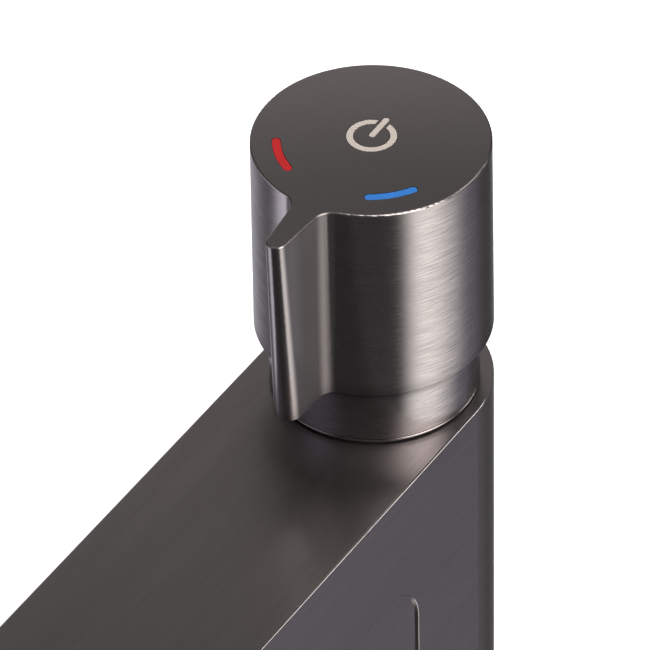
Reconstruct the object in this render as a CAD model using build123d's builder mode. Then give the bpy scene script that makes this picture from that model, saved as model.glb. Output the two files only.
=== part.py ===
from build123d import *
import math
import os

os.makedirs("parts", exist_ok=True)

# Basin mixer tap in millimetres, +Z up, with the spout towards -Y and hot on the -X side.
# The origin is the centre of the tap hole on the deck. The body's round back is concentric with it.
# The knob is turned for the temperature and pressed for on and off.

# Body: pillar and flat spout in one casting, with a thinner web in the corner between them
body_width = 45.0
body_height = 130.0
body_lift = 0.5
pillar_front_reach = 22.35
spout_reach = 127.0
spout_thickness = 24.5
recess_depth = 0.6
frame_corner_radius = 10.8
web_corner_radius = 48.0
spout_tip_rounding = 2.0
body_edge_rounding = 0.5
base_edge_chamfer = 0.4
recess_edge_rounding = 0.25

# The knob axis stands a little in front of the tap hole's centre
knob_axis_offset = 0.85

# Chamber for the cartridge, sunk into the body's top
chamber_depth = 42.0
cartridge_radius = 17.8
cartridge_fit = 0.2
nut_thread_depth = 7.5
nut_step = 0.9
thread_fit = 0.1

# Waterways in the body
inlet_thread_radius = 4.5
inlet_thread_length = 12.0
waterway_width = 12.0
waterway_height = 6.4
waterway_wall = 0.2

# Aerator under the spout's tip
aerator_reach = 112.0
aerator_bore_radius = 11.0
aerator_bore_depth = 6.5
aerator_pocket_radius = 8.0
aerator_washer_thickness = 1.2
aerator_washer_bore = 7.6
aerator_sleeve_recess = 0.4
aerator_sleeve_wall = 1.3
aerator_lip_width = 0.6
aerator_lip_thickness = 0.8
aerator_insert_wall = 0.8
aerator_face_thickness = 1.2
cell_size = 2.0
cell_pitch = 2.4

# Cartridge, from the chamber's floor upwards
cartridge_base_height = 10.0
fixed_disc_thickness = 3.5
disc_film = 0.05
moving_disc_thickness = 3.45
stem_flange_thickness = 4.0
thrust_ring_thickness = 0.9
bearing_play = 0.05
housing_step = 1.9
housing_wall = 2.3
housing_flange_thickness = 4.5
disc_clearance = 0.4
turning_clearance = 0.6
port_wall = 1.0
port_angle = 39.0
well_radius = 5.2
window_width = 9.0
disc_hole_radius = 3.2
locating_peg_radius = 1.2
locating_peg_height = 2.5
locating_peg_fit = 0.1
port_seal_section = 1.0
port_seal_groove_depth = 1.7
seal_fit = 0.05

# Mixing recess in the underside of the moving disc
mixing_recess_depth = 2.2
mixing_recess_sweep = 52.0

# Turning stem
stem_radius = 8.0
neck_height = 17.5
neck_wall = 1.9
running_fit = 0.1
spline_tip_radius = 7.8
spline_root_radius = 6.6
spline_teeth = 8
spline_gap_width = 2.9
spline_fit = 0.2
drive_pin_radius = 1.5
drive_pin_length = 1.9
drive_pin_angle = 30.0
stop_lug_reach = 14.4
stop_lug_width = 3.6
temperature_swing = 50.0
stop_play_angle = 1.5
stem_seal_section = 1.15
stem_seal_pitch = 5.0

# Push rod, its poppet and its spring
press_stroke = 3.5
stroke_clearance = 0.3
rod_radius = 2.5
rod_tip_radius = 1.6
rod_head_radius = 4.6
rod_head_height = 6.0
rod_seal_section = 0.9
rod_seal_pitch = 6.0
poppet_radius = 4.4
poppet_thickness = 1.8
poppet_seal_thickness = 1.8
spring_wire_radius = 0.6
spring_radius = 3.9
spring_length = 22.0
spring_clearance = 0.5

# Retaining nut, collar and shadow ring between the body and the knob
nut_height = 25.5
nut_floor_thickness = 4.5
nut_bore_radius = 15.0
nut_slot_width = 5.0
nut_slot_depth = 3.0
shadow_gap = 0.45
shadow_ring_wall = 0.6
collar_wall = 1.25
collar_height = 20.15
collar_lip_thickness = 2.0
collar_lip_bore = 12.0
collar_rim_chamfer = 0.4
collar_foot_chamfer = 0.12
collar_groove_height = 0.25
collar_groove_rise = 0.5
collar_groove_depth = 0.3

# Knob shell: a tapered cup with a pointer fin
knob_gap = 14.4
knob_height = 43.5
knob_top_radius = 22.65
knob_skirt_radius = 22.95
knob_top_thickness = 3.5
knob_top_rounding = 0.34
knob_skirt_chamfer = 0.3
knob_bore_clearance = 0.6
knob_turn = 1.2
fin_top_reach = 36.4
fin_skirt_reach = 34.4
fin_top_radius = 2.0
fin_skirt_radius = 2.75
fin_root_radius = 3.2
fin_root_reach = 21.0
fin_root_fillet = 3.6
guide_ring_height = 4.0
guide_ring_rise = 1.3
guide_ring_depth = 0.4
guide_ring_play = 0.15

# Inlaid marks in the knob's top: power symbol, and one arc each for hot and cold
mark_depth = 0.4
mark_sink = 0.05
mark_border = 0.1
mark_shift = 0.45
ring_centre_offset = 1.0
ring_outer_radius = 4.75
ring_inner_radius = 3.5
ring_gap = 2.45
bar_width = 1.2
bar_start = 0.6
bar_end = 7.0
arc_radius = 17.3
arc_width = 1.6
arc_start_angle = 30.3
arc_sweep = 28.0

# Knob carrier: moulded hub with a splined sleeve, rim and ribs
carrier_fit = 0.1
carrier_disc_thickness = 3.0
carrier_rim_height = 13.6
carrier_rim_wall = 3.2
carrier_sleeve_wall = 2.0
carrier_boss_thickness = 5.6
carrier_ribs = 6
carrier_rib_thickness = 1.6
carrier_rib_height = 11.0
screw_radius = 2.0
screw_length = 5.8
screw_sink = 0.6
screw_fit = 0.05
screw_drop = 14.1
screw_socket_size = 2.0
screw_socket_depth = 2.2

# Deck seat, seal and the kit that clamps the tap to the deck
deck_thickness = 20.0
seat_pocket_depth = 1.5
seat_pocket_inset = 1.2
seat_fit = 0.2
seat_rise = 0.3
spigot_radius = 16.5
spigot_wall = 1.0
spigot_length = 5.0
deck_seal_radius = 18.6
deck_seal_width = 2.0
deck_seal_height = 1.5
stud_radius = 4.0
stud_offset = 11.0
stud_engagement = 14.0
stud_hole_depth = 16.0
stud_tail = 58.0
stud_end_chamfer = 0.7
clamp_radius = 25.0
clamp_slot_width = 27.0
clamp_slot_start = -2.0
clamp_slot_rounding = 5.0
clamp_hole_fit = 0.5
clamp_pad_thickness = 3.0
clamp_plate_thickness = 2.0
nut_size = 13.0
nut_length = 12.0
nut_chamfer = 0.8

# Heights and places that follow from the sizes above
half_width = body_width / 2
spout_underside = body_height - spout_thickness
axis_y = -knob_axis_offset
aerator_y = -aerator_reach

chamber_radius = cartridge_radius + cartridge_fit
chamber_floor = body_height - chamber_depth
disc_floor = chamber_floor + cartridge_base_height
moving_disc_floor = disc_floor + fixed_disc_thickness + disc_film
stem_floor = moving_disc_floor + moving_disc_thickness
thrust_floor = stem_floor + stem_flange_thickness + bearing_play
housing_ledge = thrust_floor + thrust_ring_thickness + bearing_play
nut_floor = body_height - nut_thread_depth
nut_thread_radius = chamber_radius + nut_step
neck_top = nut_floor + neck_height

housing_radius = cartridge_radius - housing_step
housing_bore = housing_radius - housing_wall
disc_radius = housing_bore - disc_clearance
turning_radius = housing_bore - turning_clearance
port_radius = (disc_radius - well_radius) / 2 - port_wall
port_ring_radius = (disc_radius + well_radius) / 2
port_x = port_ring_radius * math.cos(math.radians(port_angle))
port_y = port_ring_radius * math.sin(math.radians(port_angle))
inlet_places = [(-port_x, axis_y + port_y), (port_x, axis_y + port_y)]

seat_plane = body_lift + seat_pocket_depth
aerator_bore_top = spout_underside + aerator_bore_depth
waterway_z = aerator_bore_top + waterway_wall + waterway_height / 2

collar_bore = nut_thread_radius + thread_fit
collar_radius = collar_bore + collar_wall
collar_floor = body_height + shadow_gap
collar_top = collar_floor + collar_height

knob_floor = body_height + knob_gap
knob_top = knob_floor + knob_height
knob_ceiling = knob_top - knob_top_thickness
knob_bore = collar_radius + knob_bore_clearance
carrier_radius = knob_bore - carrier_fit
carrier_disc_floor = knob_ceiling - carrier_disc_thickness
carrier_boss_floor = carrier_disc_floor - carrier_boss_thickness
carrier_sleeve_radius = spline_tip_radius + spline_fit + carrier_sleeve_wall
carrier_sleeve_floor = collar_top + press_stroke + stroke_clearance
screw_z = knob_top - screw_drop
screw_end = knob_top_radius - screw_sink

stem_top = carrier_boss_floor - press_stroke - stroke_clearance
rod_head_floor = carrier_boss_floor - rod_head_height
spring_floor = rod_head_floor - spring_length
spring_bore = spring_radius + spring_wire_radius + spring_clearance
stem_bore = rod_radius + running_fit
neck_bore = stem_radius + running_fit
neck_radius = neck_bore + neck_wall
poppet_seal_floor = disc_floor - stroke_clearance - poppet_seal_thickness
poppet_floor = poppet_seal_floor - poppet_thickness
well_floor = poppet_floor - press_stroke - stroke_clearance

clamp_pad_top = -deck_thickness
clamp_plate_top = clamp_pad_top - clamp_pad_thickness
fixing_nut_top = clamp_plate_top - clamp_plate_thickness


def on_axis(height):
    """Horizontal plane centred on the knob axis."""
    return Plane(origin=(0, axis_y, height))


def on_knob(height, shift=0.0):
    """Horizontal plane of the knob, which stands turned a little, moved sideways by the shift."""
    turn = math.radians(knob_turn)
    return Plane(origin=(-shift, axis_y, height), x_dir=(math.cos(turn), math.sin(turn), 0))


def behind_knob(reach):
    """Upright plane at the grub screw's height, square to the fin and on the knob's other side."""
    turn = math.radians(knob_turn)
    backwards = Vector(-math.sin(turn), math.cos(turn), 0)
    return Plane(origin=Vector(0, axis_y, screw_z) + backwards * reach, z_dir=backwards)


def plan_outline(front_reach, inset):
    """Outline from above: square front, flat sides and a round back, drawn in by the inset."""
    half = half_width - inset
    front = inset - front_reach
    with BuildSketch() as outline:
        with BuildLine():
            Polyline((-half, 0), (-half, front), (half, front), (half, 0))
            ThreePointArc((half, 0), (0, half), (-half, 0))
        make_face()
    return outline.sketch


def corner_profile(corner_radius):
    """Side view of pillar and spout, with the given rounding in the corner between them."""
    front = -pillar_front_reach
    with BuildSketch(Plane.YZ) as profile:
        with BuildLine():
            Polyline(
                (front, spout_underside - corner_radius),
                (front, body_lift),
                (half_width, body_lift),
                (half_width, body_height),
                (-spout_reach, body_height),
                (-spout_reach, spout_underside),
                (front - corner_radius, spout_underside),
            )
            RadiusArc(
                (front - corner_radius, spout_underside),
                (front, spout_underside - corner_radius),
                corner_radius,
            )
        make_face()
    return profile.sketch


def fin_outline(height, fin_reach, nose_radius):
    """Pointer fin from above: a rounded nose, widening to a root inside the knob."""
    with BuildSketch(on_knob(height)) as outline:
        with Locations((0, nose_radius - fin_reach)):
            Circle(nose_radius)
        with Locations((0, -fin_root_reach)):
            Circle(fin_root_radius)
        make_hull()
    return outline.sketch


def power_outline(border):
    """Open ring with a bar in its gap, grown by the border."""
    with BuildSketch(on_knob(knob_top, mark_shift)) as outline:
        with Locations((0, ring_centre_offset)):
            Circle(ring_outer_radius + border)
            Circle(ring_inner_radius - border, mode=Mode.SUBTRACT)
        with Locations((0, ring_centre_offset + ring_outer_radius)):
            Rectangle(ring_gap - 2 * border, 2 * ring_outer_radius, mode=Mode.SUBTRACT)
        with Locations((0, (bar_start + bar_end) / 2)):
            SlotOverall(bar_end - bar_start + 2 * border, bar_width + 2 * border, rotation=90)
    return outline.sketch


def arc_outline(side, border):
    """Rounded arc beside the fin, on the side of the given sign, grown by the border."""
    start = -90 + side * arc_start_angle
    centre_line = CenterArc((0, 0), arc_radius, start, side * arc_sweep)
    with BuildSketch(on_knob(knob_top, mark_shift)) as outline:
        SlotArc(centre_line, arc_width + 2 * border)
    return outline.sketch


def spline_outline(clearance):
    """Toothed section of the stem, grown by the clearance."""
    with BuildSketch() as outline:
        Circle(spline_tip_radius + clearance)
        with PolarLocations(spline_tip_radius, spline_teeth):
            Rectangle(
                2 * (spline_tip_radius - spline_root_radius),
                spline_gap_width - 2 * clearance,
                mode=Mode.SUBTRACT,
            )
        Circle(spline_root_radius + clearance)
    return outline.sketch


def clamp_outline():
    """C-shaped washer: a disc with a slot for the hoses and a hole for the stud."""
    slot_length = 2 * clamp_radius
    with BuildSketch() as outline:
        Circle(clamp_radius)
        with Locations((0, clamp_slot_start + slot_length / 2)):
            RectangleRounded(clamp_slot_width, slot_length, clamp_slot_rounding, mode=Mode.SUBTRACT)
        with Locations((0, -stud_offset)):
            Circle(stud_radius + clamp_hole_fit, mode=Mode.SUBTRACT)
    return outline.sketch


def ring_profile(radius, section, heights):
    """Square sections of seal rings, standing beside the knob axis at the given heights."""
    with BuildSketch(Plane(origin=(0, axis_y, 0), x_dir=(1, 0, 0), z_dir=(0, -1, 0))) as profile:
        with Locations([(radius, height) for height in heights]):
            Rectangle(section, section)
    return profile.sketch


knob_axis = Axis((0, axis_y, 0), (0, 0, 1))

# Body: the full-width frame is shaped first, so that the web stays sharp against its recess
with BuildPart() as tap_body:
    extrude(corner_profile(frame_corner_radius), amount=half_width, both=True)
    extrude(plan_outline(spout_reach, 0), amount=body_height, mode=Mode.INTERSECT)
    tip_corners = tap_body.edges().filter_by(Axis.Z).group_by(Axis.Y)[0]
    fillet(tip_corners, spout_tip_rounding)
    fillet(tap_body.faces().sort_by(Axis.Z)[-1].edges(), body_edge_rounding)
    chamfer(tap_body.faces().sort_by(Axis.Z)[0].edges(), base_edge_chamfer)
    recess_rim = (
        tap_body.edges()
        .filter_by(lambda e: abs(abs(e.center().X) - half_width) < 0.01)
        .filter_by(lambda e: abs(e.center().Z - spout_underside) < 0.01)
    )
    fillet(recess_rim, recess_edge_rounding)
    extrude(corner_profile(web_corner_radius), amount=half_width - recess_depth, both=True)
    extrude(plan_outline(spout_reach, 0), amount=body_height, mode=Mode.INTERSECT)

    # Cartridge chamber with the nut's thread at its mouth
    with BuildSketch(on_axis(chamber_floor)):
        Circle(chamber_radius)
    extrude(amount=chamber_depth, mode=Mode.SUBTRACT)
    with BuildSketch(on_axis(nut_floor)):
        Circle(nut_thread_radius + thread_fit)
    extrude(amount=nut_thread_depth, mode=Mode.SUBTRACT)

    # Waterway along the spout, ending over the aerator
    with BuildSketch(Plane.XZ.offset(knob_axis_offset)):
        with Locations((0, waterway_z)):
            SlotOverall(waterway_width, waterway_height)
    extrude(amount=aerator_reach - knob_axis_offset, mode=Mode.SUBTRACT)
    with BuildSketch(Plane.XY.offset(spout_underside)):
        with Locations((0, aerator_y)):
            Circle(aerator_pocket_radius)
    extrude(amount=waterway_z + waterway_height / 2 - spout_underside, mode=Mode.SUBTRACT)
    with BuildSketch(Plane.XY.offset(spout_underside)):
        with Locations((0, aerator_y)):
            Circle(aerator_bore_radius)
    extrude(amount=aerator_bore_depth, mode=Mode.SUBTRACT)

    # Threaded inlets, the passages up to the cartridge, and the stud's blind hole
    with BuildSketch(Plane.XY):
        with Locations(inlet_places):
            Circle(port_radius)
    extrude(amount=chamber_floor, mode=Mode.SUBTRACT)
    with BuildSketch(Plane.XY):
        with Locations(inlet_places):
            Circle(inlet_thread_radius)
    extrude(amount=seat_plane + inlet_thread_length, mode=Mode.SUBTRACT)
    with BuildSketch(Plane.XY):
        with Locations((0, -stud_offset)):
            Circle(stud_radius + thread_fit)
    extrude(amount=seat_plane + stud_hole_depth, mode=Mode.SUBTRACT)

    # Pocket that takes the moulded seat
    extrude(plan_outline(pillar_front_reach, seat_pocket_inset), amount=seat_plane, mode=Mode.SUBTRACT)
tap_body.part.label = "tap_body"

# Moulded seat between body and deck, with the spigot that centres it in the tap hole
with BuildPart() as deck_seat:
    extrude(plan_outline(pillar_front_reach, seat_pocket_inset + seat_fit), amount=seat_plane)
    with BuildSketch(Plane.XY.offset(-spigot_length)):
        Circle(half_width * 2)
    extrude(amount=spigot_length + seat_rise, mode=Mode.SUBTRACT)
    with BuildSketch(Plane.XY.offset(-spigot_length)):
        Circle(spigot_radius)
    extrude(amount=spigot_length + seat_rise)
    with BuildSketch(Plane.XY.offset(-spigot_length)):
        Circle(spigot_radius - spigot_wall)
    extrude(amount=spigot_length + seat_plane, mode=Mode.SUBTRACT)
    with BuildSketch(Plane.XY.offset(seat_rise)):
        Circle(deck_seal_radius + deck_seal_width / 2 + seat_fit)
        Circle(deck_seal_radius - deck_seal_width / 2 - seat_fit, mode=Mode.SUBTRACT)
    extrude(amount=deck_seal_height - seat_rise, mode=Mode.SUBTRACT)
deck_seat.part.label = "deck_seat"

# Rubber ring in the seat's groove, lying on the deck
with BuildPart() as deck_seal:
    with BuildSketch():
        Circle(deck_seal_radius + deck_seal_width / 2)
        Circle(deck_seal_radius - deck_seal_width / 2, mode=Mode.SUBTRACT)
    extrude(amount=deck_seal_height)
deck_seal.part.label = "deck_seal"

# Stud, rubber pad, steel washer and long nut under the deck
with BuildPart() as fixing_stud:
    with BuildSketch(Plane.XY.offset(seat_plane + stud_engagement)):
        with Locations((0, -stud_offset)):
            Circle(stud_radius)
    extrude(amount=-(seat_plane + stud_engagement + stud_tail))
    chamfer(fixing_stud.edges().filter_by(GeomType.CIRCLE), stud_end_chamfer)
fixing_stud.part.label = "fixing_stud"

with BuildPart() as clamp_pad:
    with BuildSketch(Plane.XY.offset(clamp_pad_top)):
        add(clamp_outline())
    extrude(amount=-clamp_pad_thickness)
clamp_pad.part.label = "clamp_pad"

with BuildPart() as clamp_plate:
    with BuildSketch(Plane.XY.offset(clamp_plate_top)):
        add(clamp_outline())
    extrude(amount=-clamp_plate_thickness)
clamp_plate.part.label = "clamp_plate"

with BuildPart() as fixing_nut:
    with BuildSketch(Plane.XY.offset(fixing_nut_top)):
        with Locations((0, -stud_offset)):
            RegularPolygon(nut_size / 2, 6, major_radius=False)
    extrude(amount=-nut_length)
    nut_end = fixing_nut.faces().sort_by(Axis.Z)[0]
    chamfer(nut_end.edges(), nut_chamfer)
    with BuildSketch(Plane.XY.offset(fixing_nut_top)):
        with Locations((0, -stud_offset)):
            Circle(stud_radius + thread_fit)
    extrude(amount=-nut_length, mode=Mode.SUBTRACT)
fixing_nut.part.label = "fixing_nut"

# Aerator: a screwed sleeve that holds the insert with its honeycomb face against a washer
with BuildPart() as aerator_washer:
    with BuildSketch(Plane.XY.offset(aerator_bore_top - aerator_washer_thickness)):
        with Locations((0, aerator_y)):
            Circle(aerator_bore_radius - thread_fit)
            Circle(aerator_washer_bore, mode=Mode.SUBTRACT)
    extrude(amount=aerator_washer_thickness)
aerator_washer.part.label = "aerator_washer"

sleeve_floor = spout_underside + aerator_sleeve_recess
sleeve_height = aerator_bore_top - aerator_washer_thickness - sleeve_floor
sleeve_bore = aerator_bore_radius - thread_fit - aerator_sleeve_wall
with BuildPart() as aerator_sleeve:
    with BuildSketch(Plane.XY.offset(sleeve_floor)):
        with Locations((0, aerator_y)):
            Circle(aerator_bore_radius - thread_fit)
            Circle(sleeve_bore - aerator_lip_width, mode=Mode.SUBTRACT)
    extrude(amount=sleeve_height)
    with BuildSketch(Plane.XY.offset(sleeve_floor + aerator_lip_thickness)):
        with Locations((0, aerator_y)):
            Circle(sleeve_bore)
    extrude(amount=sleeve_height, mode=Mode.SUBTRACT)
aerator_sleeve.part.label = "aerator_sleeve"

insert_floor = sleeve_floor + aerator_lip_thickness
insert_radius = sleeve_bore - thread_fit
cell_limit = insert_radius - aerator_insert_wall - cell_size / 2
cell_rows = int(cell_limit / cell_pitch) + 1
cell_grid = [
    (cell_pitch * (column + row / 2), aerator_y + cell_pitch * row * math.sqrt(3) / 2)
    for row in range(-cell_rows - 1, cell_rows + 2)
    for column in range(-2 * cell_rows, 2 * cell_rows + 1)
]
cell_places = [p for p in cell_grid if math.hypot(p[0], p[1] - aerator_y) < cell_limit]
with BuildPart() as aerator_insert:
    with BuildSketch(Plane.XY.offset(insert_floor)):
        with Locations((0, aerator_y)):
            Circle(insert_radius)
        with Locations(cell_places):
            RegularPolygon(cell_size / 2, 6, major_radius=False, rotation=30, mode=Mode.SUBTRACT)
    extrude(amount=aerator_face_thickness)
    with BuildSketch(Plane.XY.offset(insert_floor + aerator_face_thickness)):
        with Locations((0, aerator_y)):
            Circle(insert_radius)
            Circle(insert_radius - aerator_insert_wall, mode=Mode.SUBTRACT)
    extrude(amount=sleeve_height - aerator_lip_thickness - aerator_face_thickness)
aerator_insert.part.label = "aerator_insert"

# Cartridge base: two inlet ports, a well for the poppet and a window out to the chamber
with BuildPart() as cartridge_base:
    with BuildSketch(on_axis(chamber_floor)):
        Circle(cartridge_radius)
    extrude(amount=cartridge_base_height)
    with BuildSketch(on_axis(disc_floor)):
        with PolarLocations(turning_radius - locating_peg_radius, 2):
            Circle(locating_peg_radius)
    extrude(amount=locating_peg_height)
    with BuildSketch(on_axis(well_floor)):
        Circle(well_radius)
    extrude(amount=disc_floor - well_floor, mode=Mode.SUBTRACT)
    with BuildSketch(on_axis(well_floor)):
        with Locations((0, -cartridge_radius / 2)):
            Rectangle(window_width, cartridge_radius)
    extrude(amount=disc_floor - well_floor, mode=Mode.SUBTRACT)
    with BuildSketch(Plane.XY.offset(chamber_floor)):
        with Locations(inlet_places):
            Circle(port_radius)
    extrude(amount=cartridge_base_height, mode=Mode.SUBTRACT)
    with BuildSketch(Plane.XY.offset(chamber_floor)):
        with Locations(inlet_places):
            Circle(port_radius + port_seal_section + port_wall)
    extrude(amount=port_seal_groove_depth, mode=Mode.SUBTRACT)
cartridge_base.part.label = "cartridge_base"

with BuildPart() as port_seals:
    with BuildSketch(Plane.XY.offset(chamber_floor)):
        with Locations(inlet_places):
            Circle(port_radius + port_seal_section + port_wall - seal_fit)
            Circle(port_radius + port_wall / 2, mode=Mode.SUBTRACT)
    extrude(amount=port_seal_groove_depth - seal_fit)
port_seals.part.label = "port_seals"

# Ceramic discs: the fixed one has the ports and the outlet, the moving one joins them
with BuildPart() as fixed_disc:
    with BuildSketch(on_axis(disc_floor)):
        Circle(disc_radius)
        Circle(disc_hole_radius, mode=Mode.SUBTRACT)
        with PolarLocations(turning_radius - locating_peg_radius, 2):
            Circle(locating_peg_radius + locating_peg_fit, mode=Mode.SUBTRACT)
        with Locations((-port_x, port_y), (port_x, port_y)):
            Circle(port_radius, mode=Mode.SUBTRACT)
    extrude(amount=fixed_disc_thickness)
fixed_disc.part.label = "fixed_disc"

mixing_line = CenterArc((0, 0), port_ring_radius, 90 - mixing_recess_sweep / 2, mixing_recess_sweep)
with BuildPart() as moving_disc:
    with BuildSketch(on_axis(moving_disc_floor)):
        Circle(turning_radius)
        Circle(rod_tip_radius + disc_clearance, mode=Mode.SUBTRACT)
    extrude(amount=moving_disc_thickness)
    with BuildSketch(on_axis(moving_disc_floor)):
        SlotArc(mixing_line, 2 * port_radius)
        with Locations((0, port_ring_radius / 2)):
            Rectangle(2 * disc_hole_radius, port_ring_radius)
        Circle(disc_hole_radius)
    extrude(amount=mixing_recess_depth, mode=Mode.SUBTRACT)
    with BuildSketch(on_axis(stem_floor)):
        with PolarLocations(port_ring_radius, 2, -drive_pin_angle, 2 * drive_pin_angle - 180):
            Circle(drive_pin_radius + seal_fit)
    extrude(amount=-drive_pin_length - seal_fit, mode=Mode.SUBTRACT)
moving_disc.part.label = "moving_disc"

# Turning stem: flange with drive pins and a stop lug, sealed shaft and splined end
with BuildPart() as turning_stem:
    with BuildSketch(on_axis(stem_floor)):
        Circle(turning_radius)
        with Locations((0, -stop_lug_reach / 2)):
            Rectangle(stop_lug_width, stop_lug_reach)
    extrude(amount=stem_flange_thickness)
    with BuildSketch(on_axis(stem_floor)):
        with PolarLocations(port_ring_radius, 2, -drive_pin_angle, 2 * drive_pin_angle - 180):
            Circle(drive_pin_radius)
    extrude(amount=-drive_pin_length)
    with BuildSketch(on_axis(stem_floor)):
        Circle(stem_radius)
    extrude(amount=neck_top - stem_floor)
    with BuildSketch(on_axis(neck_top)):
        add(spline_outline(0))
    extrude(amount=stem_top - neck_top)
    with BuildSketch(on_axis(stem_floor)):
        Circle(stem_bore)
    extrude(amount=stem_top - stem_floor, mode=Mode.SUBTRACT)
    with BuildSketch(on_axis(spring_floor)):
        Circle(spring_bore)
    extrude(amount=stem_top - spring_floor, mode=Mode.SUBTRACT)
    stem_seal_height = (housing_ledge + neck_top) / 2
    stem_seal_heights = [stem_seal_height - stem_seal_pitch / 2, stem_seal_height + stem_seal_pitch / 2]
    with BuildSketch(Plane(origin=(0, axis_y, 0), x_dir=(1, 0, 0), z_dir=(0, -1, 0))):
        with Locations([(stem_radius, height) for height in stem_seal_heights]):
            Rectangle(2 * stem_seal_section, stem_seal_section + 2 * seal_fit)
    revolve(axis=knob_axis, mode=Mode.SUBTRACT)
turning_stem.part.label = "turning_stem"

with BuildPart() as stem_seals:
    seal_radius = stem_radius + seal_fit - stem_seal_section / 2
    revolve(ring_profile(seal_radius, stem_seal_section, stem_seal_heights), axis=knob_axis)
stem_seals.part.label = "stem_seals"

# Housing over the discs, with the neck that guides the stem and the groove for its stop lug
with BuildPart() as cartridge_housing:
    with BuildSketch(on_axis(disc_floor)):
        Circle(housing_radius)
    extrude(amount=nut_floor - disc_floor)
    with BuildSketch(on_axis(nut_floor - housing_flange_thickness)):
        Circle(cartridge_radius)
    extrude(amount=housing_flange_thickness)
    with BuildSketch(on_axis(nut_floor)):
        Circle(neck_radius)
    extrude(amount=neck_height)
    with BuildSketch(on_axis(disc_floor)):
        Circle(housing_bore)
    extrude(amount=housing_ledge - disc_floor, mode=Mode.SUBTRACT)
    with BuildSketch(on_axis(disc_floor)):
        Circle(neck_bore)
    extrude(amount=neck_top - disc_floor, mode=Mode.SUBTRACT)
    lug_half_angle = math.degrees(math.asin(stop_lug_width / 2 / housing_bore))
    groove_half_angle = temperature_swing + lug_half_angle + stop_play_angle
    groove_radius = stop_lug_reach + disc_clearance
    groove_start = Vector(groove_radius, 0).rotate(Axis.Z, -90 - groove_half_angle)
    groove_end = Vector(groove_radius, 0).rotate(Axis.Z, -90 + groove_half_angle)
    with BuildSketch(on_axis(disc_floor)):
        with BuildLine():
            Polyline(groove_end, (0, 0), groove_start)
            ThreePointArc(groove_start, (0, -groove_radius), groove_end)
        make_face()
    extrude(amount=thrust_floor - disc_floor, mode=Mode.SUBTRACT)
    seal_groove_height = nut_floor - housing_flange_thickness / 2
    with BuildSketch(Plane(origin=(0, axis_y, 0), x_dir=(1, 0, 0), z_dir=(0, -1, 0))):
        with Locations((cartridge_radius, seal_groove_height)):
            Rectangle(2 * housing_step, housing_step)
    revolve(axis=knob_axis, mode=Mode.SUBTRACT)
cartridge_housing.part.label = "cartridge_housing"

with BuildPart() as housing_seal:
    housing_seal_section = housing_step - seal_fit
    housing_seal_radius = chamber_radius - seal_fit - housing_seal_section / 2
    revolve(ring_profile(housing_seal_radius, housing_seal_section, [seal_groove_height]), axis=knob_axis)
housing_seal.part.label = "housing_seal"

with BuildPart() as thrust_ring:
    with BuildSketch(on_axis(thrust_floor)):
        Circle(turning_radius)
        Circle(neck_bore + disc_clearance, mode=Mode.SUBTRACT)
    extrude(amount=thrust_ring_thickness)
thrust_ring.part.label = "thrust_ring"

# Nut that screws into the body over the cartridge and carries the collar
with BuildPart() as retaining_nut:
    with BuildSketch(on_axis(nut_floor)):
        Circle(nut_thread_radius)
        Circle(neck_radius + turning_clearance, mode=Mode.SUBTRACT)
    extrude(amount=nut_height)
    with BuildSketch(on_axis(nut_floor + nut_floor_thickness)):
        Circle(nut_bore_radius)
    extrude(amount=nut_height, mode=Mode.SUBTRACT)
    with BuildSketch(on_axis(nut_floor + nut_height)):
        with PolarLocations(0, 2, 0, 90):
            Rectangle(2 * nut_thread_radius, nut_slot_width)
    extrude(amount=-nut_slot_depth, mode=Mode.SUBTRACT)
retaining_nut.part.label = "retaining_nut"

with BuildPart() as shadow_ring:
    with BuildSketch(on_axis(body_height)):
        Circle(collar_bore + shadow_ring_wall)
        Circle(collar_bore, mode=Mode.SUBTRACT)
    extrude(amount=shadow_gap)
shadow_ring.part.label = "shadow_ring"

with BuildPart() as collar:
    with BuildSketch(on_axis(collar_floor)):
        Circle(collar_radius)
        Circle(collar_lip_bore, mode=Mode.SUBTRACT)
    extrude(amount=collar_height)
    with BuildSketch(on_axis(collar_floor)):
        Circle(collar_bore)
    extrude(amount=collar_height - collar_lip_thickness, mode=Mode.SUBTRACT)
    chamfer(collar.faces().sort_by(Axis.Z)[-1].outer_wire().edges(), collar_rim_chamfer)
    chamfer(collar.faces().sort_by(Axis.Z)[0].outer_wire().edges(), collar_foot_chamfer)
    with BuildSketch(on_axis(collar_floor + collar_groove_rise)):
        Circle(collar_radius)
        Circle(collar_radius - collar_groove_depth, mode=Mode.SUBTRACT)
    extrude(amount=collar_groove_height, mode=Mode.SUBTRACT)
collar.part.label = "collar"

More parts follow.
